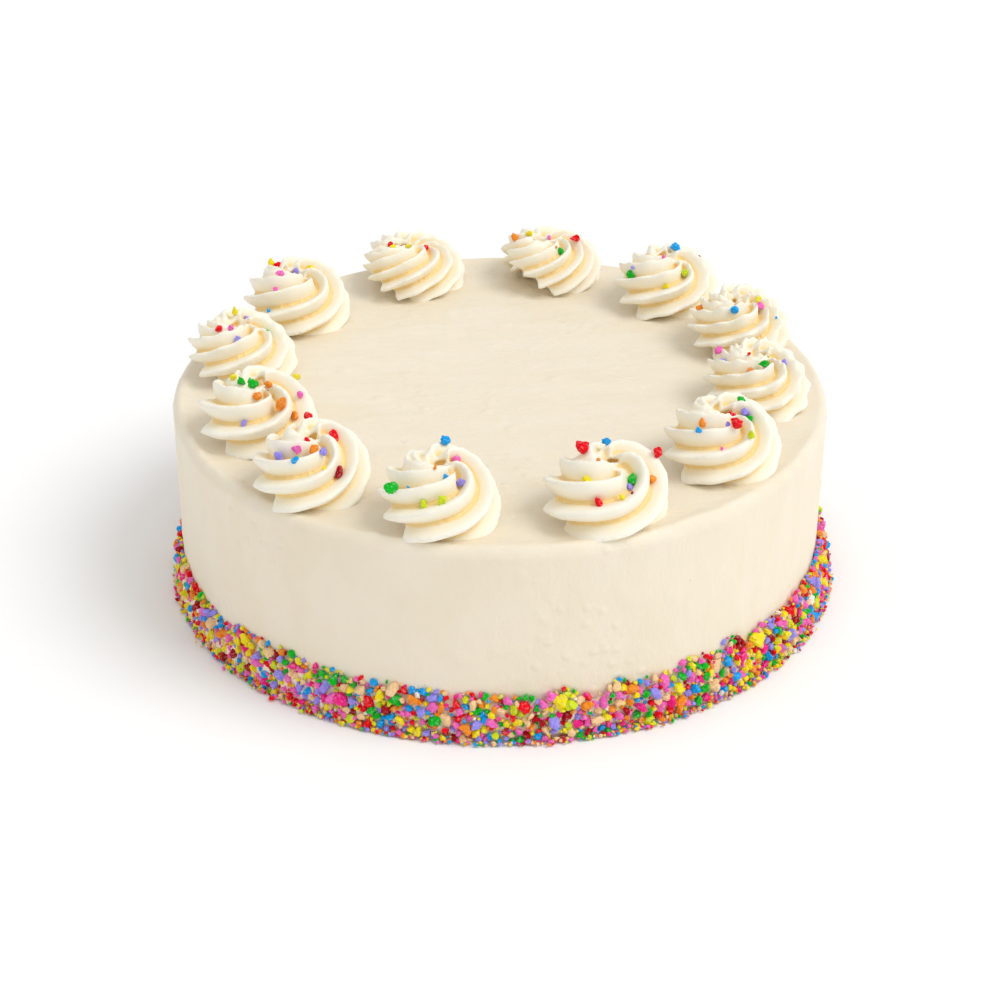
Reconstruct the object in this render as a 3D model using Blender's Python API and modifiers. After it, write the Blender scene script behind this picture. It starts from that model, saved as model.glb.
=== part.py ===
"""A frosted round celebration cake, uncut, with piped rosettes and candy crumbs.

A plain round cake is coated in buttercream with a flat top and a softly rounded rim.
Twelve star-piped rosettes stand round the rim, and a band of candy crumbs is pressed
into the foot of the side.  The origin is under the middle of the cake, at its base.
"""

import math

import bmesh
import bpy
from mathutils import Vector, noise

MM = 0.001
TURN = 2.0 * math.pi

# Pieces that touch keep this much air between them.
TOUCH_GAP = 0.3 * MM

# The coated cake: an eight-inch sponge with its buttercream.
CAKE_RADIUS = 108.0 * MM
CAKE_FOOT_RADIUS = 107.5 * MM
CAKE_HEIGHT = 65.0 * MM
RIM_ROUNDING = 4.5 * MM
RIM_ARC_STEPS = 5
CAKE_SEGMENTS = 72

# The band of candy crumbs round the foot.
BAND_SEGMENTS = 90
BAND_HEIGHT = 16.0 * MM
BAND_HEIGHT_WAVER = 2.2 * MM
BAND_FOOT_THICKNESS = 5.2 * MM
BAND_TOP_THICKNESS = 2.2 * MM
BAND_THICKNESS_WAVER = 0.8 * MM
BAND_WAVES_PER_TURN = 5.0

# One rosette: a thick rope from an open-star nozzle, laid in a bit more than one turn
# anticlockwise.  It climbs and thins as it closes in over its own middle.
NOZZLE_POINTS = 7
POINTS_PER_RIDGE = 6
ROPE_STEPS = 80
ROPE_RADIUS = 10.0 * MM
ROPE_END_RADIUS = 3.0 * MM
GROOVE_SHARE = 0.42
GROOVE_END_SHARE = 0.15
RIDGE_TWIST_PER_TURN = 0.6
FIRST_RIDGE = math.radians(22.0)
LOOP_START = math.radians(195.0)
LOOP_SWEEP = math.radians(460.0)
LOOP_RADIUS = 9.5 * MM
LOOP_END_RADIUS = 1.0 * MM
LOOP_HEIGHT = 8.8 * MM
LOOP_CLIMB = 4.6 * MM
CLOSING_FROM = 0.52
LIP_OVERHANG = 0.075
LIP_REACH = 0.22
SWIRL_RADIUS = 18.8 * MM
SWIRL_HEIGHT = 18.8 * MM
SWIRL_VOXEL = 0.7 * MM
SWIRL_RATIO = 0.027

# Each rosette as it was piped by hand: bearing from the middle of the cake in degrees,
# distance from the middle, radius and height in millimetres, and its turn in degrees.
ROSETTES = (
    (258, 89.0, 19.0, 20.5, 2),
    (291, 89.0, 19.5, 20.0, -12),
    (323, 87.0, 18.7, 20.5, -4),
    (354, 84.0, 18.0, 18.5, 8),
    (23, 87.0, 19.2, 18.5, 26),
    (50, 90.5, 19.5, 18.5, 16),
    (79, 90.0, 19.2, 17.5, 34),
    (111, 90.0, 19.4, 17.0, 30),
    (143, 89.5, 18.7, 20.0, 12),
    (171, 87.5, 18.6, 19.0, 4),
    (202, 83.5, 19.4, 19.0, 0),
    (230, 89.5, 18.5, 20.0, -6),
)


def clear_scene():
    for thing in list(bpy.data.objects):
        bpy.data.objects.remove(thing, do_unlink=True)


def make_collection(name):
    collection = bpy.data.collections.new(name)
    bpy.context.scene.collection.children.link(collection)
    return collection


def make_material(name, colour, roughness):
    material = bpy.data.materials.new(name)
    material.use_nodes = True
    shader = material.node_tree.nodes["Principled BSDF"]
    shader.inputs["Base Color"].default_value = (*colour, 1.0)
    shader.inputs["Roughness"].default_value = roughness
    shader.inputs["Metallic"].default_value = 0.0
    material.diffuse_color = (*colour, 1.0)
    return material


def make_coating_material():
    """Smoothed ivory buttercream."""
    return make_material("coating_buttercream", (0.90, 0.81, 0.66), 0.48)


def make_piping_material():
    """The same buttercream, piped and a little paler on its crests."""
    return make_material("piped_buttercream", (0.93, 0.86, 0.72), 0.45)


def make_crumb_material():
    """Candy crumbs, as the one colour that the mixed pieces give together."""
    return make_material("candy_crumbs", (0.72, 0.38, 0.28), 0.55)


def add_mesh_object(name, collection, material, vertices, faces):
    mesh = bpy.data.meshes.new(name)
    mesh.from_pydata(vertices, [], faces)
    mesh.update()
    body = bmesh.new()
    body.from_mesh(mesh)
    bmesh.ops.recalc_face_normals(body, faces=body.faces)
    body.to_mesh(mesh)
    body.free()
    mesh.materials.append(material)
    thing = bpy.data.objects.new(name, mesh)
    collection.objects.link(thing)
    return thing


def joined_rings(ring_count, ring_size, closed):
    """Quads between neighbouring rings of points, and back to the first ring when closed."""
    faces = []
    for ring in range(ring_count if closed else ring_count - 1):
        above = (ring + 1) % ring_count
        for point in range(ring_size):
            after = (point + 1) % ring_size
            faces.append((
                ring * ring_size + point,
                ring * ring_size + after,
                above * ring_size + after,
                above * ring_size + point,
            ))
    return faces


def cake_profile():
    """From the middle of the top, over the rounded rim and down to the middle of the base."""
    points = [(0.0, CAKE_HEIGHT)]
    for step in range(RIM_ARC_STEPS + 1):
        angle = math.pi / 2.0 * (1.0 - step / RIM_ARC_STEPS)
        points.append((
            CAKE_RADIUS - RIM_ROUNDING * (1.0 - math.cos(angle)),
            CAKE_HEIGHT - RIM_ROUNDING * (1.0 - math.sin(angle)),
        ))
    points.append((side_radius(BAND_HEIGHT), BAND_HEIGHT))
    points.append((CAKE_FOOT_RADIUS, 0.0))
    points.append((0.0, 0.0))
    return points


def side_radius(height):
    """The cake's side widens evenly from its foot to where the rim starts to round."""
    share = min(height / (CAKE_HEIGHT - RIM_ROUNDING), 1.0)
    return CAKE_FOOT_RADIUS + (CAKE_RADIUS - CAKE_FOOT_RADIUS) * share


def make_cake(collection, material):
    """The coated cake as one turned solid: nothing inside it shows."""
    profile = cake_profile()
    mesh = bpy.data.meshes.new("cake")
    mesh.from_pydata(
        [(radius, 0.0, height) for radius, height in profile],
        [(i, i + 1) for i in range(len(profile) - 1)],
        [],
    )
    mesh.materials.append(material)
    cake = bpy.data.objects.new("cake", mesh)
    collection.objects.link(cake)
    turned = cake.modifiers.new("turned", "SCREW")
    turned.axis = "Z"
    turned.steps = CAKE_SEGMENTS
    turned.render_steps = CAKE_SEGMENTS
    turned.use_merge_vertices = True
    turned.merge_threshold = 0.00005
    return cake


def band_waver(angle, layer):
    """Soft uneven lumps, between -1 and 1, that close up after a full turn."""
    place = Vector((math.cos(angle), math.sin(angle), 0.0)) * BAND_WAVES_PER_TURN
    return noise.noise(place + Vector((0.0, 0.0, 3.7 * layer)))


def band_section(angle):
    """Outline of the crumb band at one bearing: pairs of radius and height."""
    height = BAND_HEIGHT + BAND_HEIGHT_WAVER * band_waver(angle, 1)
    foot = BAND_FOOT_THICKNESS + BAND_THICKNESS_WAVER * band_waver(angle, 2)
    waist = (BAND_FOOT_THICKNESS + BAND_TOP_THICKNESS) / 2.0
    waist += BAND_THICKNESS_WAVER * band_waver(angle, 3)
    top = BAND_TOP_THICKNESS
    # A slice of a faceted ring stands clear of the cake's own facets by their sagitta.
    clearance = TOUCH_GAP + CAKE_RADIUS * (1.0 - math.cos(math.pi / CAKE_SEGMENTS))
    inside_foot = CAKE_FOOT_RADIUS + clearance
    inside_top = side_radius(height) + clearance
    return (
        (inside_foot, 0.0),
        (inside_foot + foot - 1.0 * MM, 0.0),
        (inside_foot + foot, 2.0 * MM),
        (inside_foot + waist, height * 0.5),
        (inside_top + top, height * 0.86),
        (inside_top + top * 0.5, height),
        (inside_top, height),
    )


def make_crumb_band(collection, material):
    """The pressed-on crumbs as one ring, out to their uneven outline."""
    vertices = []
    for segment in range(BAND_SEGMENTS):
        angle = TURN * segment / BAND_SEGMENTS
        section = band_section(angle)
        vertices += [(r * math.cos(angle), r * math.sin(angle), z) for r, z in section]
    faces = joined_rings(BAND_SEGMENTS, len(section), closed=True)
    return add_mesh_object("crumb_band", collection, material, vertices, faces)


def share_past(along, start):
    """0 up to start, then rising evenly to 1 at the rope's end."""
    return min(max((along - start) / (1.0 - start), 0.0), 1.0)


def loop_centre(along):
    """Middle of the rope at a share of its length: a loop that closes in and climbs."""
    bearing = LOOP_START + LOOP_SWEEP * along
    closing = share_past(along, CLOSING_FROM)
    distance = LOOP_RADIUS + (LOOP_END_RADIUS - LOOP_RADIUS) * closing ** 1.6
    height = LOOP_HEIGHT + LOOP_CLIMB * closing ** 1.3
    return Vector((distance * math.cos(bearing), distance * math.sin(bearing), height))


def rope_point(along, around):
    """A point on the star-sectioned rope; its first lips overhang the surface."""
    start_share = max(1.0 - along / LIP_REACH, 0.0)
    along -= LIP_OVERHANG * math.sin(around) * start_share
    nudge = 0.001
    forward = (loop_centre(along + nudge) - loop_centre(along - nudge)).normalized()
    outward = forward.cross(Vector((0.0, 0.0, 1.0))).normalized()
    upward = outward.cross(forward)

    thinning = share_past(along, CLOSING_FROM * 0.8) ** 1.7
    radius = ROPE_RADIUS + (ROPE_END_RADIUS - ROPE_RADIUS) * thinning
    groove = GROOVE_SHARE + (GROOVE_END_SHARE - GROOVE_SHARE) * share_past(along, 0.6)
    twist = FIRST_RIDGE + RIDGE_TWIST_PER_TURN * LOOP_SWEEP * along
    phase = (NOZZLE_POINTS * (around - twist) / TURN) % 1.0
    valley = 1.0 - abs(2.0 * phase - 1.0)
    reach = radius * (1.0 - groove * valley)
    arm = outward * math.cos(around) + upward * math.sin(around)
    return loop_centre(along) + arm * reach


def make_rosette(name, collection, material, radius, height):
    """The rope's surface, fused where it lies over itself and thinned to plain facets."""
    ring_size = NOZZLE_POINTS * POINTS_PER_RIDGE
    vertices = []
    for step in range(ROPE_STEPS + 1):
        for point in range(ring_size):
            place = rope_point(step / ROPE_STEPS, TURN * point / ring_size)
            vertices.append((
                place.x * radius / SWIRL_RADIUS,
                place.y * radius / SWIRL_RADIUS,
                max(place.z, 0.0) * height / SWIRL_HEIGHT,
            ))
    faces = joined_rings(ROPE_STEPS + 1, ring_size, closed=False)
    faces.append(tuple(reversed(range(ring_size))))
    faces.append(tuple(range(ROPE_STEPS * ring_size, (ROPE_STEPS + 1) * ring_size)))
    rosette = add_mesh_object(name, collection, material, vertices, faces)
    fused = rosette.modifiers.new("fused", "REMESH")
    fused.mode = "VOXEL"
    fused.voxel_size = SWIRL_VOXEL
    thinned = rosette.modifiers.new("thinned", "DECIMATE")
    thinned.ratio = SWIRL_RATIO
    return rosette


def pipe_rosettes(collection, material):
    """All rosettes, each set down on the top near the rim and turned as it was piped."""
    for number, (bearing, distance, radius, height, turn) in enumerate(ROSETTES, start=1):
        name = f"rosette_{number:02d}"
        rosette = make_rosette(name, collection, material, radius * MM, height * MM)
        angle = math.radians(bearing)
        rosette.location = (
            distance * MM * math.cos(angle),
            distance * MM * math.sin(angle),
            CAKE_HEIGHT + TOUCH_GAP,
        )
        rosette.rotation_euler.z = math.radians(turn)


def build():
    clear_scene()
    collection = make_collection("celebration_cake")
    make_cake(collection, make_coating_material())
    make_crumb_band(collection, make_crumb_material())
    pipe_rosettes(collection, make_piping_material())


build()
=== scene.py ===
import math
import random

import bmesh
import bpy
import numpy as np
from mathutils import Euler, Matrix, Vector, noise
from mathutils.bvhtree import BVHTree


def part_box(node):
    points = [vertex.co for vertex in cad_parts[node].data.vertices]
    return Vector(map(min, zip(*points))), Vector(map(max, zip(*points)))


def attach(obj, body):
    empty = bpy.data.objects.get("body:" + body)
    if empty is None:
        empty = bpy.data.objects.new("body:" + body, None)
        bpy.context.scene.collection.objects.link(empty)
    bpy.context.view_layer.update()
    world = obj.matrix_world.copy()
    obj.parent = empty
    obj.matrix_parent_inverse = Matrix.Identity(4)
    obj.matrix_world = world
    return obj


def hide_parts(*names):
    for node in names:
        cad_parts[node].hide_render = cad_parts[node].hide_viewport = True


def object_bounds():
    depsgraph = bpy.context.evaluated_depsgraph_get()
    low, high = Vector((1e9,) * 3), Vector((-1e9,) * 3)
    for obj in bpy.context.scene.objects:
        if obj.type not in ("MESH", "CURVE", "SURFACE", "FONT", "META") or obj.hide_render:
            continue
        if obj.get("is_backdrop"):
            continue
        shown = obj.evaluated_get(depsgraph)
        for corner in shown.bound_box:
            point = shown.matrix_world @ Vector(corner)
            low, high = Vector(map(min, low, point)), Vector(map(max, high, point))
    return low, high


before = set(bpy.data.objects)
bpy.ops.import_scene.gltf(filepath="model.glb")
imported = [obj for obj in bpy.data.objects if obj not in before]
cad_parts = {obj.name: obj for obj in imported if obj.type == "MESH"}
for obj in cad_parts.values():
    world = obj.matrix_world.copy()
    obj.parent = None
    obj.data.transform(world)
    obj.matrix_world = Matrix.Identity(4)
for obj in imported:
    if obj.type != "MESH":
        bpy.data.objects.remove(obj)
cad_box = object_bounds()

# The iced cake: one round uncut cake under a thick coat of ivory buttercream, spread over the top with a long
# knife and drawn smooth round the side with a bench scraper, which leaves a soft lip round the top edge.
MM = 0.001
cake_low, cake_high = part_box("cake")
CAKE_TOP = cake_high.z
CAKE_RADIUS = (cake_high.x - cake_low.x + cake_high.y - cake_low.y) / 4
EDGE_ROUNDING = 2.8 * MM
EDGE_STEPS = 6
FOOT_TUCK = 0.5 * MM  # how far the foot of the side lies in from the top of it
COAT_STEP = 1.25 * MM  # from one ring of points to the next down the side
TOP_STEP = COAT_STEP * 1.1  # and across the top
TOP_EYE = 0.4 * MM  # radius of the innermost ring
COAT_SPOKES = 540
LIP_HEIGHT = 0.7 * MM
LIP_WIDTH = 2.6 * MM
LIP_INSET = 2.4 * MM  # from the side in to the lip's crest


def mesh_piece(name, points, loops, loop_sizes, finish):
    """A piece from arrays: its points, the corners of every face in a row, and how many corners each has."""
    mesh = bpy.data.meshes.new(name)
    loops = np.asarray(loops, np.int32).ravel()
    loop_sizes = np.asarray(loop_sizes, np.int32)
    starts = np.concatenate(([0], np.cumsum(loop_sizes)[:-1])).astype(np.int32)
    mesh.vertices.add(len(points))
    mesh.vertices.foreach_set("co", np.asarray(points, np.float32).ravel())
    mesh.loops.add(len(loops))
    mesh.loops.foreach_set("vertex_index", loops)
    mesh.polygons.add(len(loop_sizes))
    mesh.polygons.foreach_set("loop_start", starts)
    mesh.polygons.foreach_set("use_smooth", np.full(len(loop_sizes), True))
    mesh.update(calc_edges=True)
    mesh.validate()
    mesh.materials.append(finish)
    piece = bpy.data.objects.new(name, mesh)
    bpy.context.scene.collection.objects.link(piece)
    return piece


def unevenness(x, y, z, size, depth):
    """A soft bump or hollow at a place, depth high, and as far across as size says along each axis."""
    return depth * noise.noise(Vector((x / size[0], y / size[1], z / size[2])))


def coat_profile():
    """The half outline of the coat from the middle of the top, over the edge, to the foot."""
    flat = CAKE_RADIUS - EDGE_ROUNDING
    outline = [(max(r, TOP_EYE), CAKE_TOP) for r in np.arange(0, flat, TOP_STEP)]
    for k in range(EDGE_STEPS + 1):
        turn = math.radians(90 * k / EDGE_STEPS)
        outline.append(
            (flat + EDGE_ROUNDING * math.sin(turn), CAKE_TOP - EDGE_ROUNDING * (1 - math.cos(turn)))
        )
    side = np.arange(CAKE_TOP - EDGE_ROUNDING - COAT_STEP, 0, -COAT_STEP)
    outline += [(CAKE_RADIUS - FOOT_TUCK * (1 - z / CAKE_TOP), z) for z in side]
    outline.append((CAKE_RADIUS - FOOT_TUCK, 0.0))
    return outline


def knife_work(x, y):
    """Height that the knife left on the top: long low swells, streaks from side to side, and small dabs."""
    swell = unevenness(x, y, 0, (55 * MM, 40 * MM, 1), 0.34 * MM)
    streak = unevenness(x, y, 2.0, (34 * MM, 6.5 * MM, 1), 0.17 * MM)
    fine = unevenness(x, y, 5.0, (9 * MM, 2.8 * MM, 1), 0.13 * MM)
    dab = max(noise.noise(Vector((x / (7 * MM), y / (5 * MM), 8.0))) - 0.32, 0) * 1.1 * MM
    return swell + streak + fine + dab


def scraper_work(bearing, z):
    """How far the scraper left the side standing out: broad waves, upright drags and small dabs."""
    x, y = CAKE_RADIUS * math.cos(bearing), CAKE_RADIUS * math.sin(bearing)
    wave = unevenness(x, y, z, (60 * MM, 60 * MM, 70 * MM), 0.75 * MM)
    drag = unevenness(x, y, z, (9 * MM, 9 * MM, 60 * MM), 0.13 * MM)
    fine = unevenness(x, y, z + 0.3, (3.4 * MM, 3.4 * MM, 9 * MM), 0.07 * MM)
    dab = max(noise.noise(Vector((x / (8 * MM), y / (8 * MM), z / (6 * MM)))) - 0.42, 0) * 0.7 * MM
    return wave + drag + fine + dab


def coat_point(r, z, bearing):
    """A point of the coat, moved by what the tools left."""
    x, y = r * math.cos(bearing), r * math.sin(bearing)
    on_side = min(max((CAKE_TOP - z) / EDGE_ROUNDING, 0.0), 1.0)
    lip_share = math.exp(-(((r - CAKE_RADIUS + LIP_INSET) / LIP_WIDTH) ** 2)) * (1 - on_side)
    lip = LIP_HEIGHT * lip_share * (1 + 1.3 * noise.noise(Vector((x, y, 0)) / (22 * MM)))
    z += (knife_work(x, y) + lip) * (1 - on_side)
    r += scraper_work(bearing, z) * on_side if z > 0 else 0.0
    return r * math.cos(bearing), r * math.sin(bearing), z


def spun_quads(rings, spokes):
    """Corners of the quads between rings of points, one ring after the other."""
    k, j = np.meshgrid(np.arange(rings - 1), np.arange(spokes), indexing="ij")
    nxt = (j + 1) % spokes
    near, far = k * spokes, (k + 1) * spokes
    return np.stack([near + j, far + j, far + nxt, near + nxt], -1)


class Wire:
    """One output in a finish. Sums and products of wires add the nodes that work them out."""

    def __init__(self, tree, socket=None):
        self.tree = tree
        self.socket = socket

    def node(self, kind, settings, inputs, out=0):
        """A node of this kind, its settings made first, then its inputs set or wired. Gives one output."""
        made = self.tree.nodes.new("ShaderNode" + kind)
        for name, value in settings.items():
            setattr(made, name, value)
        for name, value in inputs.items():
            if isinstance(value, Wire):
                self.tree.links.new(value.socket, made.inputs[name])
            else:
                made.inputs[name].default_value = value
        return Wire(self.tree, made.outputs[out])

    def maths(self, operation, first, second):
        """One sum, difference or product."""
        return self.node("Math", {"operation": operation}, {0: first, 1: second})

    def __add__(self, other):
        return self.maths("ADD", self, other)

    def __sub__(self, other):
        return self.maths("SUBTRACT", self, other)

    def __mul__(self, other):
        return self.maths("MULTIPLY", self, other)

    def __rsub__(self, other):
        return self.maths("SUBTRACT", other, self)

    __radd__, __rmul__ = __add__, __mul__

    def between(self, low, high):
        """0 at low, 1 at high, and soft in between."""
        ends = {"Value": self, "From Min": low, "From Max": high}
        return self.node("MapRange", {"interpolation_type": "SMOOTHSTEP"}, ends)

    def blend(self, under, over):
        """The colour under where this wire is 0, and over where it is 1."""
        return self.node("Mix", {"data_type": "RGBA"}, {0: self, 6: under, 7: over}, 2)

    def stretched(self, amounts):
        """This place in space, squeezed or stretched along each axis."""
        return self.node("VectorMath", {"operation": "MULTIPLY"}, {0: self, 1: amounts})

    def cloud(self, scale, detail=2.0, rough=0.5):
        """Soft patches over a place, from 0 to 1, scale of them to a metre."""
        cloud = {"Vector": self, "Scale": scale, "Detail": detail, "Roughness": rough}
        return self.node("TexNoise", {}, cloud)

    def dots(self, scale):
        """How far each spot lies from the nearest of many scattered dots, scale of them to a metre."""
        return self.node("TexVoronoi", {}, {"Vector": self, "Scale": scale})

    def bumps(self, strength, depth):
        """Fine relief that follows this height, depth metres deep at full strength."""
        return self.node("Bump", {}, {"Strength": strength, "Distance": depth, "Height": self})


def srgb(red, green, blue):
    """A colour named as on a paint card, 0 to 255, as the light it gives back."""
    light = [((c / 255 + 0.055) / 1.055) ** 2.4 if c > 10 else c / 3294.6 for c in (red, green, blue)]
    return (*light, 1.0)


def new_finish(name):
    """An empty finish, its start, and the place on the piece that its patterns follow."""
    finish = bpy.data.materials.new(name)
    finish.use_nodes = True
    finish.node_tree.nodes.clear()
    start = Wire(finish.node_tree)
    return finish, start, start.node("TexCoord", {}, {}, "Object")


def laid(finish, start, skin):
    """The finish with its skin laid on: what the shader's own inputs are set or wired to."""
    surface = start.node("BsdfPrincipled", {}, skin)
    end = finish.node_tree.nodes.new("ShaderNodeOutputMaterial")
    finish.node_tree.links.new(surface.socket, end.inputs["Surface"])
    return finish


IVORY = srgb(240, 229, 207)
IVORY_WARM = srgb(239, 227, 203)
IVORY_PALE = srgb(243, 233, 214)
BUTTER_FLECK = srgb(222, 172, 112)


def coat_finish():
    """Spread buttercream: a close ivory with faint paler smears, a few specks of butter, and a half-matt skin."""
    finish, start, place = new_finish("spread_buttercream")
    smear = place.stretched((1.0, 3.4, 1.0)).cloud(38, 3).between(0.38, 0.66)
    patch = place.cloud(21, 2).between(0.35, 0.7)
    tone = patch.blend(IVORY, IVORY_WARM)
    tone = (smear * 0.55).blend(tone, IVORY_PALE)
    speck = 1 - place.dots(95.0).between(0.012, 0.03)
    seldom = place.cloud(52, 0).between(0.52, 0.56)
    tone = (speck * seldom * 0.8).blend(tone, BUTTER_FLECK)
    pit = (1 - place.dots(120.0).between(0.02, 0.06)) * place.cloud(33, 0).between(0.5, 0.58)
    nub = (1 - place.dots(210.0).between(0.05, 0.45)) * place.cloud(26, 1).between(0.54, 0.64)
    grain = place.stretched((1.0, 2.6, 0.6)).cloud(230, 4, 0.6) * 1.1 + place.cloud(1300, 2) * 0.15
    skin = {
        "Base Color": tone,
        "Roughness": place.cloud(60, 2) * 0.18 + 0.40,
        "Specular IOR Level": 0.42,
        "Subsurface Weight": 0.12,
        "Subsurface Radius": (1.0, 0.7, 0.4),
        "Subsurface Scale": 2.0 * MM,
        "Normal": (grain + nub * 0.8 - pit * 0.4).bumps(0.62, 0.5 * MM),
    }
    return laid(finish, start, skin)


coat_outline = coat_profile()
coat_points = [
    coat_point(r, z, 2 * math.pi * j / COAT_SPOKES) for r, z in coat_outline for j in range(COAT_SPOKES)
]
coat_quads = spun_quads(len(coat_outline), COAT_SPOKES).reshape(-1, 4)
top_middle = len(coat_points)
coat_points += [(0, 0, CAKE_TOP + knife_work(0, 0)), (0, 0, 0)]
last_ring = (len(coat_outline) - 1) * COAT_SPOKES
spoke = np.arange(COAT_SPOKES)
next_spoke = (spoke + 1) % COAT_SPOKES
top_fan = np.stack([np.full(COAT_SPOKES, top_middle), spoke, next_spoke], -1)
foot_fan = np.stack([np.full(COAT_SPOKES, top_middle + 1), last_ring + next_spoke, last_ring + spoke], -1)
iced_cake = mesh_piece(
    "iced_cake",
    coat_points,
    np.concatenate([coat_quads.ravel(), top_fan.ravel(), foot_fan.ravel()]),
    [4] * len(coat_quads) + [3] * (2 * COAT_SPOKES),
    coat_finish(),
)
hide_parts("cake")
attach(iced_cake, "root")

# Twelve buttercream rosettes, each squeezed in one go from a bag with an open star nozzle: the ribbed rope is
# led round in a ring on the cake, then drawn in and up to the middle, so that its ridges sweep over each other
# like petals. They stick to the soft coat by themselves.
ROPE_STEPS = 240
POINTS_PER_RIDGE = 12
RIDGE_LEAN = 0.64  # where a crest lies from one groove to the next: half way would be upright
FIRST_RIDGE = math.radians(21)
CREST_FULLNESS = 1.22  # 1 is a sharp crest, 2 a round one
ROSETTE_VOXEL = 0.5 * MM
ROSETTE_SINK = 0.7 * MM  # how deep the foot sinks into the coat
HOLLOW_DEPTH = 0.55 * MM  # a groove this deep has its full painted shade
HOLLOW_ROUNDS = 36
# Each rosette one by one: how far it is turned, how many ridges, where the rope starts, how far it goes round,
# how wide its ring is, how much its ridges wind, how deep its grooves are, how much its lips lean over, and
# how much they are ruffled, where the bag was squeezed in fits and starts.
ROSETTE_HANDS = {
    "rosette_01": (4, 9, 195, 380, 6.5, 0.60, 0.46, 0.55, 0.012),
    "rosette_02": (-10, 8, 200, 372, 6.9, 0.56, 0.48, 0.48, 0.01),
    "rosette_03": (0, 9, 190, 400, 6.7, 0.64, 0.46, 0.60, 0.02),
    "rosette_04": (8, 10, 196, 360, 6.4, 0.66, 0.48, 0.52, 0.05),
    "rosette_05": (22, 10, 192, 385, 6.8, 0.70, 0.48, 0.50, 0.06),
    "rosette_06": (10, 9, 198, 375, 6.3, 0.70, 0.45, 0.58, 0.03),
    "rosette_07": (62, 10, 194, 405, 7.2, 0.92, 0.46, 0.50, 0.012),
    "rosette_08": (54, 10, 190, 395, 7.0, 0.95, 0.45, 0.46, 0.03),
    "rosette_09": (12, 9, 197, 410, 7.1, 0.60, 0.47, 0.55, 0.02),
    "rosette_10": (34, 9, 192, 370, 6.6, 0.74, 0.46, 0.60, 0.035),
    "rosette_11": (2, 8, 196, 378, 6.5, 0.62, 0.48, 0.56, 0.015),
    "rosette_12": (-4, 9, 193, 392, 6.8, 0.59, 0.46, 0.58, 0.012),
}
ROSETTE_REACH = 19.0  # mm, from the middle to the outer crests, before it is fitted to its place
TIP_RADIUS = 5.0  # mm, of the rope where the bag is drawn off
TIP_INSET = 1.0  # mm, from the middle of the rosette to the rope's end
START_HEIGHT = 5.8  # mm, of the middle of the rope where it is laid down
CLIMB = 5.8  # mm
DIP = 2.5  # mm, where the rope sags after its first third
CLOSES_FROM = 0.25  # share of the rope's length
TONGUE_END = 0.22  # share of the rope's length over which its cut start hangs ragged
RAGGED = 1.1  # mm, either way
RUFFLES = 13  # along the whole rope


def past(along, start):
    """0 up to start, then rising evenly to 1 at the rope's end."""
    return np.clip((along - start) / (1 - start), 0, 1)


def rope_middle(along, start, sweep, ring):
    """The line the nozzle follows, in mm: a ring that closes in and climbs."""
    bearing = np.radians(start + sweep * along)
    closing = past(along, CLOSES_FROM)
    reach = ring + (TIP_INSET - ring) * closing**1.6
    dip = DIP * np.exp(-(((along - 0.33) / 0.2) ** 2))
    height = START_HEIGHT - dip + CLIMB * closing**1.3
    return np.stack([reach * np.cos(bearing), reach * np.sin(bearing), height], -1)


def star_rope(turn, ridges, start, sweep, ring, wind, groove, lean, ruffle, ragged, waver):
    """Points of the ribbed rope, ring after ring, before it settles. ragged is how far its start hangs forward
    all round, and waver is how much the hand turned and squeezed unevenly, and where."""
    across = ridges * POINTS_PER_RIDGE
    around = np.arange(across) * 2 * math.pi / across
    along = np.linspace(0, 1, ROPE_STEPS + 1)[:, None]
    thick = ROSETTE_REACH - ring
    length = math.radians(sweep) * ring * 0.8
    tongue = np.interp(around, np.linspace(0, 2 * math.pi, len(ragged)), ragged)
    shift = (-lean * np.sin(around) * thick + tongue) / length
    along = along + shift[None, :] * np.clip(1 - along / TONGUE_END, 0, 1)
    middle = rope_middle(along, start, sweep, ring)
    ahead = rope_middle(along + 0.001, start, sweep, ring) - rope_middle(along - 0.001, start, sweep, ring)
    ahead /= np.linalg.norm(ahead, axis=-1, keepdims=True)
    outward = np.cross(ahead, (0.0, 0.0, 1.0))
    outward /= np.linalg.norm(outward, axis=-1, keepdims=True)
    upward = np.cross(outward, ahead)
    radius = thick + (TIP_RADIUS - thick) * past(along, 0.2) ** 1.7
    radius = radius * (1 - 0.10 * np.clip(1 - along / 0.10, 0, 2))
    depth = groove + 0.05 * np.clip(1 - along / 0.15, 0, 1)
    depth = depth + (0.35 - depth) * past(along, 0.6) ** 1.2
    winding = FIRST_RIDGE + wind * np.radians(sweep) * along
    winding = winding + waver[0] * np.sin(2 * math.pi * (1.7 * along + waver[1]))
    radius = radius * (1 + waver[2] * np.sin(2 * math.pi * (2.3 * along + waver[3])))
    phase = (ridges * (around[None, :] - winding) / (2 * math.pi) + 0.5) % 1.0
    crest = np.where(phase < RIDGE_LEAN, phase / RIDGE_LEAN, (1 - phase) / (1 - RIDGE_LEAN))
    crest = 1 - (1 - crest) ** CREST_FULLNESS
    reach = radius * (1 - depth * (1 - crest))
    arm = np.cos(around)[None, :, None] * outward + np.sin(around)[None, :, None] * upward
    reach = reach * (1 + ruffle * crest * np.sin(2 * math.pi * RUFFLES * along + 3 * around[None, :]))
    points = (middle + reach[..., None] * arm).reshape(-1, 3) * MM
    spin = math.radians(turn)
    x, y = points[:, 0].copy(), points[:, 1].copy()
    points[:, 0] = x * math.cos(spin) - y * math.sin(spin)
    points[:, 1] = x * math.sin(spin) + y * math.cos(spin)
    return points


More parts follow.
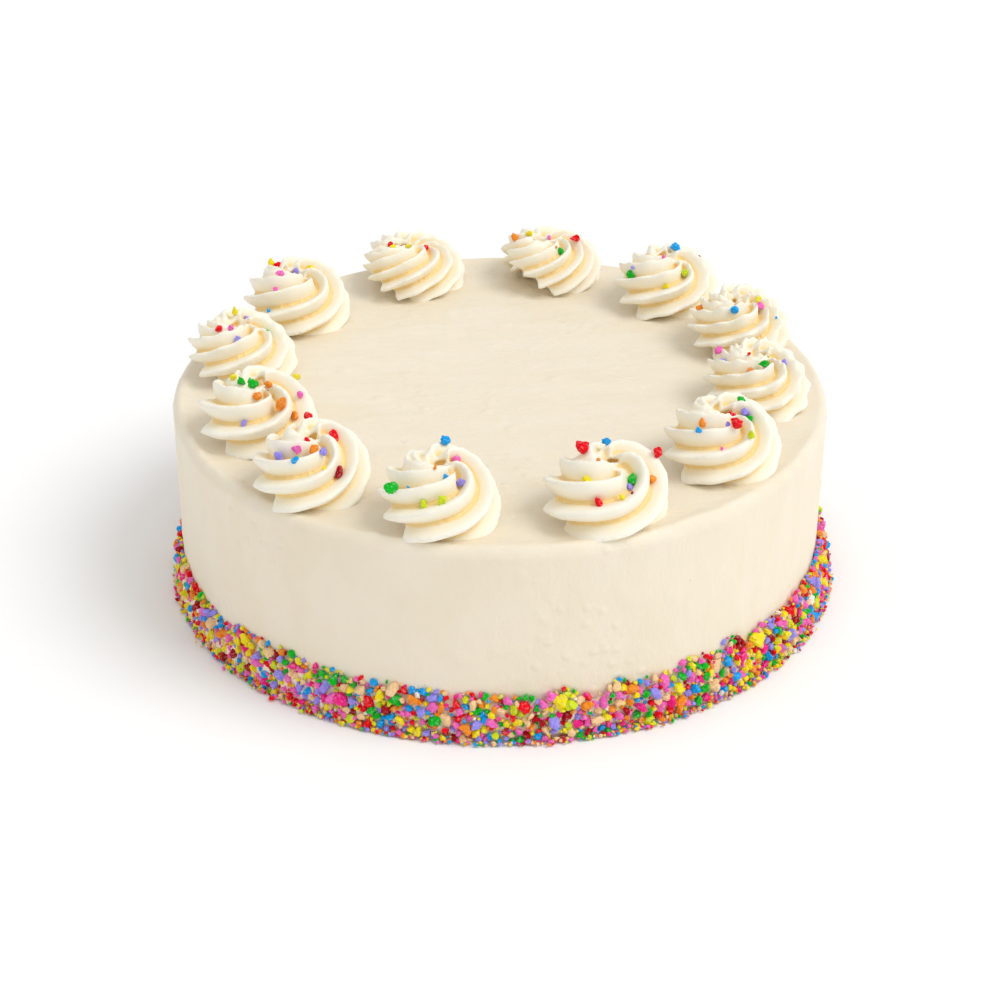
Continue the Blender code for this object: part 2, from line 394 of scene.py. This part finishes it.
def settle(rosette):
    """Lets the overlapping turns of a rope run together into one closed skin, as soft buttercream does."""
    melt = rosette.modifiers.new("melt", "REMESH")
    melt.mode, melt.voxel_size, melt.adaptivity = "VOXEL", ROSETTE_VOXEL, 0
    ease = rosette.modifiers.new("ease", "SMOOTH")
    ease.factor, ease.iterations = 0.5, 2
    whole = bpy.data.meshes.new_from_object(rosette.evaluated_get(bpy.context.evaluated_depsgraph_get()))
    rosette.modifiers.clear()
    old, rosette.data = rosette.data, whole
    bpy.data.meshes.remove(old)
    points = np.empty(len(whole.vertices) * 3)
    whole.vertices.foreach_get("co", points)
    return points.reshape(-1, 3)


def mark_hollows(rosette):
    """Stores how far each point lies down in a groove (+1) or up on a crest (-1) of the skin smoothed flat."""
    mesh = rosette.data
    count = len(mesh.vertices)
    edges = np.empty(len(mesh.edges) * 2, np.int64)
    mesh.edges.foreach_get("vertices", edges)
    first, second = edges.reshape(-1, 2).T
    near = np.bincount(first, minlength=count) + np.bincount(second, minlength=count)
    points, ways = np.empty(count * 3), np.empty(count * 3)
    mesh.vertices.foreach_get("co", points)
    mesh.vertex_normals.foreach_get("vector", ways)
    points, ways = points.reshape(-1, 3), ways.reshape(-1, 3)
    eased = points.copy()
    for _ in range(HOLLOW_ROUNDS):
        total = np.empty_like(eased)
        for axis in range(3):
            total[:, axis] = np.bincount(first, eased[second, axis], count)
            total[:, axis] += np.bincount(second, eased[first, axis], count)
        eased += 0.7 * (total / near[:, None] - eased)
    hollow = ((eased - points) * ways).sum(1) / HOLLOW_DEPTH
    # the piped finish paints shade into the grooves and a highlight onto the crests from this mark
    mark = mesh.attributes.new("hollow", "FLOAT", "POINT")
    mark.data.foreach_set("value", np.clip(hollow, -1, 1).astype(np.float32))


def fit_to_node(points, low, high, base):
    """Stretches a rosette to the width and height of the space it has, and stands it on its base."""
    now_low, now_high = points.min(0), points.max(0)
    middle = (now_low + now_high) / 2
    for axis in (0, 1):
        wide = (high[axis] - low[axis]) / (now_high[axis] - now_low[axis])
        points[:, axis] = (points[:, axis] - middle[axis]) * wide + (low[axis] + high[axis]) / 2
    points[:, 2] = points[:, 2] * (high.z - low.z) / now_high[2] + low.z
    points[:, 2] = np.maximum(points[:, 2], base)
    return points


PIPED = srgb(248, 238, 212)
PIPED_PALE = srgb(248, 240, 220)
# paler colour painted on the crests as a highlight
PIPED_PAINTED_HIGHLIGHT = srgb(251, 245, 229)
# deep butter yellow painted into the grooves as shade
PIPED_PAINTED_SHADE = srgb(250, 216, 138)


def piped_finish():
    """Piped buttercream, softly glossy: paler painted highlight on crests, deep butter yellow painted shade in
    grooves.
    """
    finish, start, place = new_finish("piped_buttercream_finish")
    hollow = start.node("Attribute", {"attribute_name": "hollow"}, {}, "Fac")
    # groove marks where painted shade goes, crest where the painted highlight goes
    groove, crest = hollow.between(0.12, 1.0), 1 - hollow.between(-0.75, -0.05)
    patch = place.cloud(140, 2).between(0.35, 0.7)
    tone = (patch * 0.5).blend(PIPED, PIPED_PALE)
    # painted highlight: the crests made paler
    tone = crest.blend(tone, PIPED_PAINTED_HIGHLIGHT)
    # painted shade: the grooves turned deep butter yellow
    tone = (groove * 0.85).blend(tone, PIPED_PAINTED_SHADE)
    grain = place.cloud(700, 3) * 0.5 + place.cloud(2200, 1) * 0.1
    skin = {
        "Base Color": tone,
        "Roughness": place.cloud(220, 2) * 0.16 + 0.36,
        "Specular IOR Level": 0.45,
        "Subsurface Weight": 0.15,
        "Subsurface Radius": (1.0, 0.7, 0.35),
        "Subsurface Scale": 2.0 * MM,
        "Normal": grain.bumps(0.25, 0.3 * MM),
    }
    return laid(finish, start, skin)


piped = piped_finish()
rosettes = {}
for number, (node, hand) in enumerate(ROSETTE_HANDS.items()):
    drawn = random.Random(number)
    ragged = [drawn.uniform(-RAGGED, RAGGED) for _ in range(hand[1] * 2)]
    ragged.append(ragged[0])
    waver = (drawn.uniform(0.03, 0.10), drawn.random(), drawn.uniform(0.015, 0.05), drawn.random())
    rope = star_rope(*hand, ragged, waver)
    across = hand[1] * POINTS_PER_RIDGE
    skin = spun_quads(ROPE_STEPS + 1, across)[:, :, ::-1].reshape(-1, 4)
    ends = np.concatenate([np.arange(across), np.arange(across)[::-1] + ROPE_STEPS * across])
    sizes = [4] * len(skin) + [across, across]
    rosette = mesh_piece(node + "_piped", rope, np.concatenate([skin.ravel(), ends]), sizes, piped)
    points = settle(rosette)
    points = fit_to_node(points, *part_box(node), CAKE_TOP - ROSETTE_SINK)
    rosette.data.vertices.foreach_set("co", points.ravel())
    rosette.data.polygons.foreach_set("use_smooth", np.full(len(rosette.data.polygons), True))
    rosette.data.update()
    mark_hollows(rosette)
    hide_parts(node)
    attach(rosette, "root")
    rosettes[node] = rosette

# The crumb bed: a thin low ring of soft buttercream and sugar dust at the foot of the cake, which holds the
# candy crumbs that are pressed into it by hand.
band_low, band_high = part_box("crumb_band")
BAND_HEIGHT = band_high.z
BED_SPOKES = 360
BED_DEPTH = 1.5  # mm, that the bed goes into the side
BED_OUTLINE = (  # (share of the band's height, how far it stands off the side in mm), from the foot up
    (0.0, 2.3),
    (0.25, 2.3),
    (0.5, 1.7),
    (0.75, 1.0),
    (0.88, 0.2),
)


def band_top(bearing):
    """Height of the crumbs' upper edge round the cake: long waves and short uneven steps."""
    x, y = math.cos(bearing), math.sin(bearing)
    wave = noise.noise(Vector((1.7 * x, 1.7 * y, 4.0))) * 2.4 * MM
    step = noise.noise(Vector((14 * x, 14 * y, 9.0))) * 2.6 * MM
    front = 1.2 * MM * max(-y, 0)
    return BAND_HEIGHT - 3.6 * MM + wave + step + front


BED_IVORY = srgb(251, 240, 220)
BED_PEACH = srgb(248, 226, 200)


def bed_finish():
    """Buttercream dulled and tinted by sugar dust."""
    finish, start, place = new_finish("dusty_buttercream")
    skin = {
        "Base Color": place.cloud(300, 2).between(0.4, 0.62).blend(BED_IVORY, BED_PEACH),
        "Roughness": place.cloud(500, 1) * 0.2 + 0.5,
        "Normal": place.cloud(1400, 3).bumps(0.5, 0.4 * MM),
    }
    return laid(finish, start, skin)


bed_points = []
bed_back = tuple((share, -BED_DEPTH) for share, _ in reversed(BED_OUTLINE))
for share, stand in BED_OUTLINE + bed_back:
    for j in range(BED_SPOKES):
        bearing = 2 * math.pi * j / BED_SPOKES
        lump = 0.35 * MM * noise.noise(Vector((80 * math.cos(bearing), 80 * math.sin(bearing), 9 * share)))
        r = CAKE_RADIUS + stand * MM + (lump if stand > 0 else 0)
        bed_points.append((r * math.cos(bearing), r * math.sin(bearing), share * band_top(bearing)))
bed_rings = 2 * len(BED_OUTLINE)
bed_quads = spun_quads(bed_rings + 1, BED_SPOKES) % (bed_rings * BED_SPOKES)
bed_quads = bed_quads[:, :, ::-1].reshape(-1, 4)
crumb_bed = mesh_piece("crumb_bed", bed_points, bed_quads, [4] * len(bed_quads), bed_finish())
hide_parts("crumb_band")
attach(crumb_bed, "root")

# Candy crumbs: boiled sugar broken into lumps, from a grain of dust to a small pea, in a dozen bright colours.
# They are pressed round the foot of the cake by hand, and a pinch is dropped on every rosette. Each colour is
# one joined piece.
CRUMB_COLOURS = {  # name: (colour, share of the mix)
    "yellow": (srgb(255, 236, 24), 0.165),
    "lime": (srgb(216, 234, 28), 0.055),
    "peach": (srgb(255, 214, 160), 0.12),
    "orange": (srgb(255, 150, 34), 0.11),
    "pink": (srgb(255, 112, 200), 0.115),
    "hot_pink": (srgb(255, 36, 144), 0.07),
    "red": (srgb(246, 0, 26), 0.07),
    "deep_red": (srgb(176, 0, 20), 0.05),
    "green": (srgb(0, 192, 36), 0.085),
    "blue": (srgb(0, 170, 250), 0.07),
    "lavender": (srgb(164, 152, 252), 0.09),
    "white": (srgb(252, 246, 236), 0.01),
}
crumb_hand = random.Random(20)
KNOBS = 7
CHIPS = 8
SHAPES = 14  # of each kind
MEDIUM_FROM = 1.9 * MM  # crumbs from this size up get the finer shapes
SEATING = 0.42  # height of a crumb's middle when it lies on the board, as a share of its size
STRAY_GRAINS = 1500
CLOSEST = 0.335  # least distance between two crumbs, as a share of both their sizes together


def crumb_shape(detail, seed):
    """A broken lump of sugar about 2 across: a few knobs grown together, with chipped sides."""
    hand = random.Random(seed)
    ball = bmesh.new()
    bmesh.ops.create_icosphere(ball, subdivisions=detail, radius=1.0)
    knobs = []
    for _ in range(KNOBS):
        middle = Vector([hand.uniform(-0.44, 0.44) for _ in range(3)])
        knobs.append((middle, hand.uniform(0.42, 0.66)))
    chips = []
    for _ in range(CHIPS):
        way = Vector([hand.gauss(0, 1) for _ in range(3)]).normalized()
        chips.append((way, hand.uniform(0.46, 0.70)))
    points = []
    for v in ball.verts:
        out = v.co.normalized()
        reach = 0.5
        for middle, size in knobs:
            lean = out.dot(middle)
            inside = size * size - middle.length_squared + lean * lean
            if inside > 0:
                reach = max(reach, lean + math.sqrt(inside))
        for way, cut in chips:
            facing = out.dot(way)
            if facing > 0.05:
                reach = min(reach, cut / facing)
        reach *= 1 + 0.12 * noise.noise(out * 2.6 + Vector((seed, 0, 0)))
        reach *= 1 + 0.13 * noise.noise(out * 6.0 + Vector((0, seed, 0)))
        reach *= 1 + 0.10 * noise.noise(out * 12.0 + Vector((0, 0, seed))) * (detail - 2)
        points.append(out * reach)
    faces = [[v.index for v in f.verts] for f in ball.faces]
    ball.free()
    points = np.array(points)
    points -= (points.min(0) + points.max(0)) / 2
    return points / np.abs(points).max(), np.array(faces)


COARSE = [crumb_shape(2, seed) for seed in range(SHAPES)]
MEDIUM = [crumb_shape(3, seed + 40) for seed in range(SHAPES)]
crumbs = {name: [] for name in CRUMB_COLOURS}


def drop_crumb(colour, place, size):
    """Puts one crumb of a colour at a place, about size across and turned at random."""
    shapes = MEDIUM if size > MEDIUM_FROM else COARSE
    points, faces = shapes[crumb_hand.randrange(len(shapes))]
    turn = Euler([crumb_hand.uniform(0, 6.28) for _ in range(3)]).to_matrix()
    squeeze = np.array([crumb_hand.uniform(0.78, 1.22) for _ in range(3)])
    placed = (points * squeeze * size / 2) @ np.array(turn).T + np.array(place)
    crumbs[colour].append((placed, faces))


def mixed_colour():
    """The colour of the next crumb from the jar."""
    names = list(CRUMB_COLOURS)
    return crumb_hand.choices(names, [CRUMB_COLOURS[n][1] for n in names])[0]


def band_stand(bearing, share):
    """How far the crumbs stand off the side, from the foot (share 0) to the upper edge; less on the left."""
    left = max(-math.cos(bearing), 0.0) ** 2
    return (3.9 - 2.9 * share) * (1 - 0.5 * left) * MM


# The big crumbs are pressed on first and the small ones fill in between them. Nothing is put where a crumb of
# about its own size already is.
BAND_SIZES = (  # (crumb size in mm, tries, least share of the height, greatest share)
    ((3.4, 4.6), 400, 0.30, 1.00),
    ((2.6, 3.4), 1700, 0.12, 1.05),
    ((2.1, 2.8), 5200, 0.02, 1.06),
    ((1.4, 2.0), 11000, 0.0, 1.10),
    ((0.9, 1.3), 9000, 0.0, 1.12),
)
CELL = 5 * MM  # the band is searched in squares of this size
taken = {}


def is_free(along, z, size):
    """True if no crumb yet lies too near this place on the band."""
    column, row = int(along // CELL), int(z // CELL)
    for c in (column - 1, column, column + 1):
        for w in (row - 1, row, row + 1):
            for other, height, width in taken.get((c, w), ()):
                gap = math.hypot(along - other, z - height)
                if gap < CLOSEST * (size + width):
                    return False
    return True


girth = 2 * math.pi * CAKE_RADIUS
for (small, large), tries, least, most in BAND_SIZES:
    for _ in range(tries):
        size = crumb_hand.uniform(small, large) * MM
        along = crumb_hand.uniform(0, girth)
        bearing = along / CAKE_RADIUS
        top = band_top(bearing)
        share = crumb_hand.uniform(least, most)
        if share > 1.0 and crumb_hand.random() < 0.55:
            continue
        z = max(share * top, SEATING * size)
        if not is_free(along, z, size):
            continue
        taken.setdefault((int(along // CELL), int(z // CELL)), []).append((along, z, size))
        r = CAKE_RADIUS + band_stand(bearing, min(share, 1.0)) + crumb_hand.uniform(-0.7, 0.5) * MM
        if share > 1.0:
            r = CAKE_RADIUS + 0.2 * size
        drop_crumb(mixed_colour(), (r * math.cos(bearing), r * math.sin(bearing), z), size)

# Dust and stray grains along the foot.
for _ in range(STRAY_GRAINS):
    size = crumb_hand.uniform(0.7, 1.7) * MM
    bearing = crumb_hand.uniform(0, 2 * math.pi)
    r = CAKE_RADIUS + band_stand(bearing, 0) + (0.2 + abs(crumb_hand.gauss(0, 0.75))) * MM
    drop_crumb(mixed_colour(), (r * math.cos(bearing), r * math.sin(bearing), SEATING * size), size)

# A pinch on each rosette, crumb by crumb: its colour, where it fell on a clock face whose six o'clock is at the
# front of the cake, how far out it lies, and its size in mm.
FALLEN = {"heart": 0.22, "middle": 0.45, "brim": 0.70, "edge": 0.88}  # shares of the way out
PINCHES = {
    "rosette_01": (
        "blue 12 brim 3.5, pink 1 middle 3.5, orange 6.5 heart 1.5, blue 4.5 heart 3.5, lavender 4 middle 3, "
        "lime 6.5 brim 3, lime 6 brim 3.5, green 8 edge 4, blue 7.5 brim 1"
    ),
    "rosette_02": (
        "red 10.5 middle 4.5, blue 12 middle 3, red 2 edge 3.5, yellow 7.5 middle 4, red 6.5 brim 3, "
        "green 3.5 middle 3.5, lavender 4.5 middle 2.5, orange 3 brim 3, yellow 5.5 brim 2, "
        "deep_red 5 brim 1, orange 7 heart 1.5"
    ),
    "rosette_03": (
        "peach 12.5 brim 2.5, green 1.5 middle 3, red 1 heart 3, lavender 2 middle 3, red 5.5 middle 4, "
        "green 2.5 middle 3, lime 4.5 brim 2.5, orange 8 middle 3, lavender 7 middle 1.5, blue 7.5 brim 2.5, "
        "lavender 6 middle 2, pink 6 brim 1.5"
    ),
    "rosette_04": (
        "lavender 9 brim 2.5, pink 10 brim 3, pink 10.5 brim 2, orange 7 middle 3, red 8.5 heart 1.5, "
        "pink 4.5 heart 2.5, lavender 3.5 middle 2.5, green 5.5 middle 3.5, green 2.5 heart 1"
    ),
    "rosette_05": (
        "orange 9.5 brim 3, blue 6.5 middle 3, peach 5.5 heart 3.5, yellow 2 middle 2.5, pink 3.5 middle 3, "
        "blue 3.5 brim 1"
    ),
    "rosette_06": (
        "blue 1 middle 4, green 8.5 brim 3.5, pink 6.5 heart 2, lime 4.5 middle 3, deep_red 2 brim 2, "
        "green 2.5 brim 3, yellow 6 brim 2, lavender 8.5 brim 1.5"
    ),
    "rosette_07": (
        "orange 8.5 brim 3.5, yellow 9 middle 3, green 10 heart 2, pink 11.5 heart 2, red 3 middle 4, "
        "green 5 middle 3, orange 5.5 middle 1, lavender 1.5 middle 1.5"
    ),
    "rosette_08": "red 8.5 middle 2.5, yellow 8 middle 2, yellow 7 heart 3, red 3 heart 2.5",
    "rosette_09": (
        "yellow 10.5 brim 3, green 11.5 brim 2, red 10.5 middle 2.5, lavender 12 heart 2.5, "
        "yellow 1 middle 3.5, pink 7.5 middle 3, pink 7 brim 2.5, blue 7 edge 1.5"
    ),
    "rosette_10": (
        "red 8.5 middle 2.5, yellow 11.5 middle 3, pink 8 heart 2.5, lavender 12 middle 2, green 2.5 middle 3, "
        "peach 1.5 heart 3, lavender 6 middle 3"
    ),
    "rosette_11": (
        "yellow 10 middle 2.5, green 9.5 heart 3, green 6.5 heart 3.5, orange 6 heart 3, orange 2.5 heart 3, "
        "peach 12.5 heart 2.5, orange 4.5 brim 4, yellow 2 brim 2.5, pink 3 brim 3, lavender 6.5 brim 2.5, "
        "orange 4 brim 3, orange 4.5 brim 1.5"
    ),
    "rosette_12": (
        "lavender 7.5 brim 3.5, pink 7 middle 3, blue 6.5 brim 2.5, lime 7 middle 2, red 6 heart 2.5, "
        "peach 5 heart 3, lavender 5 middle 2.5, orange 5.5 middle 3, deep_red 4.5 brim 4, yellow 5 brim 1.5, "
        "red 2 middle 4, red 12 brim 3.5"
    ),
}


def crumb_on(node, tree, colour, hour, ring, size):
    """Drops one crumb onto a rosette from above, near its place on the clock face. It sinks in a little."""
    low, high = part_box(node)
    middle = (low + high) / 2
    bearing = math.radians(90 - 30 * hour + crumb_hand.uniform(-7, 7))  # three o'clock is +X
    reach = (high.x - low.x) / 2 * (FALLEN[ring] + crumb_hand.uniform(-0.04, 0.04))
    above = Vector((middle.x + reach * math.cos(bearing), middle.y + reach * math.sin(bearing), high.z + 0.02))
    spot, facing, _, _ = tree.ray_cast(above, Vector((0, 0, -1)))
    if spot is not None:
        drop_crumb(colour, spot + facing * size * 0.30, size)


for node, rosette in rosettes.items():
    tree = BVHTree.FromObject(rosette, bpy.context.evaluated_depsgraph_get())
    for item in PINCHES[node].split(", "):
        colour, hour, ring, size = item.split()
        crumb_on(node, tree, colour, float(hour), ring, float(size) * MM)


def crumb_finish(name, colour):
    """Boiled sugar of one colour: paler where it is chipped, a little uneven in tone, and with a dull shine."""
    finish, start, place = new_finish("candy_" + name)
    pale = tuple(c + (0.95 - c) * 0.30 for c in colour[:3]) + (1.0,)
    deep = tuple(c * 0.92 for c in colour[:3]) + (1.0,)
    tone = place.cloud(330, 2).between(0.35, 0.68).blend(deep, colour)
    tone = (place.cloud(1100, 2).between(0.50, 0.68) * 0.55).blend(tone, pale)
    skin = {
        "Base Color": tone,
        "Roughness": place.cloud(700, 1) * 0.22 + 0.34,
        "Specular IOR Level": 0.12,
        "Subsurface Weight": 0.12,
        "Subsurface Radius": (1.0, 1.0, 1.0),
        "Subsurface Scale": 1.0 * MM,
        "Normal": place.cloud(2300, 2).bumps(0.9, 0.5 * MM),
    }
    return laid(finish, start, skin)


for name, (colour, _) in CRUMB_COLOURS.items():
    counts = np.cumsum([0] + [len(points) for points, _ in crumbs[name]])
    points = np.concatenate([points for points, _ in crumbs[name]])
    faces = np.concatenate([faces + start for (_, faces), start in zip(crumbs[name], counts)])
    points[:, 2] = np.maximum(points[:, 2], 0.0)
    joined = mesh_piece("crumbs_" + name, points, faces, [3] * len(faces), crumb_finish(name, colour))
    joined.data.polygons.foreach_set("use_smooth", np.full(len(faces), False))
    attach(joined, "root")

# The studio: a sheet of matt white paper under an even white sky, with one broad soft light high on the right,
# and the camera in front of the cake, looking down on its top.
FLOOR_HALF = 3.0
FLOOR_DROP = 0.5 * MM  # the paper lies this far under the cake
SKY_LIGHT = 0.72


def floor_finish():
    """Matt white studio paper."""
    finish, start, place = new_finish("studio_paper")
    tone = place.cloud(3, 1).blend(srgb(252, 252, 252), srgb(254, 254, 254))
    return laid(finish, start, {"Base Color": tone, "Roughness": 0.9, "Specular IOR Level": 0.1})


corners = [(x * FLOOR_HALF, y * FLOOR_HALF, -FLOOR_DROP) for x, y in ((-1, -1), (1, -1), (1, 1), (-1, 1))]
mesh_piece("studio_floor", corners, [0, 1, 2, 3], [4], floor_finish())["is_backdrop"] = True

sky = bpy.data.worlds.new("white_sky")
sky.use_nodes = True
sky.node_tree.nodes["Background"].inputs["Color"].default_value = (1, 1, 1, 1)
sky.node_tree.nodes["Background"].inputs["Strength"].default_value = SKY_LIGHT
bpy.context.scene.world = sky


def soft_light(name, way, spread, power):
    """A white light from one way, even over the whole floor. Its spread in degrees softens the shadows."""
    lamp = bpy.data.lights.new(name, "SUN")
    lamp.angle, lamp.energy, lamp.color = math.radians(spread), power, (1, 1, 1)
    stand = bpy.data.objects.new(name, lamp)
    stand.location = way
    stand.rotation_euler = (-Vector(way)).to_track_quat("-Z", "Y").to_euler()
    bpy.context.scene.collection.objects.link(stand)


soft_light("key_light", (0.60, -0.18, 0.82), 34, 1.34)

CAMERA_DISTANCE = 0.850
CAMERA_CLIMB = math.radians(30.71)
CAMERA_PITCH = math.radians(29.4)
camera = bpy.data.objects.new("camera", bpy.data.cameras.new("camera"))
camera.data.lens, camera.data.sensor_width = 88.7, 36
middle_x, middle_y = (cake_low.x + cake_high.x) / 2, (cake_low.y + cake_high.y) / 2
camera.location = (
    middle_x,
    middle_y - CAMERA_DISTANCE * math.cos(CAMERA_CLIMB),
    CAMERA_DISTANCE * math.sin(CAMERA_CLIMB),
)
camera.rotation_euler = (math.radians(90) - CAMERA_PITCH, 0, 0)
bpy.context.scene.collection.objects.link(camera)
bpy.context.scene.camera = camera
bpy.context.scene.view_settings.view_transform = "Standard"

sizes = {"cad": [list(corner) for corner in cad_box], "visual": [list(corner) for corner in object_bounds()]}
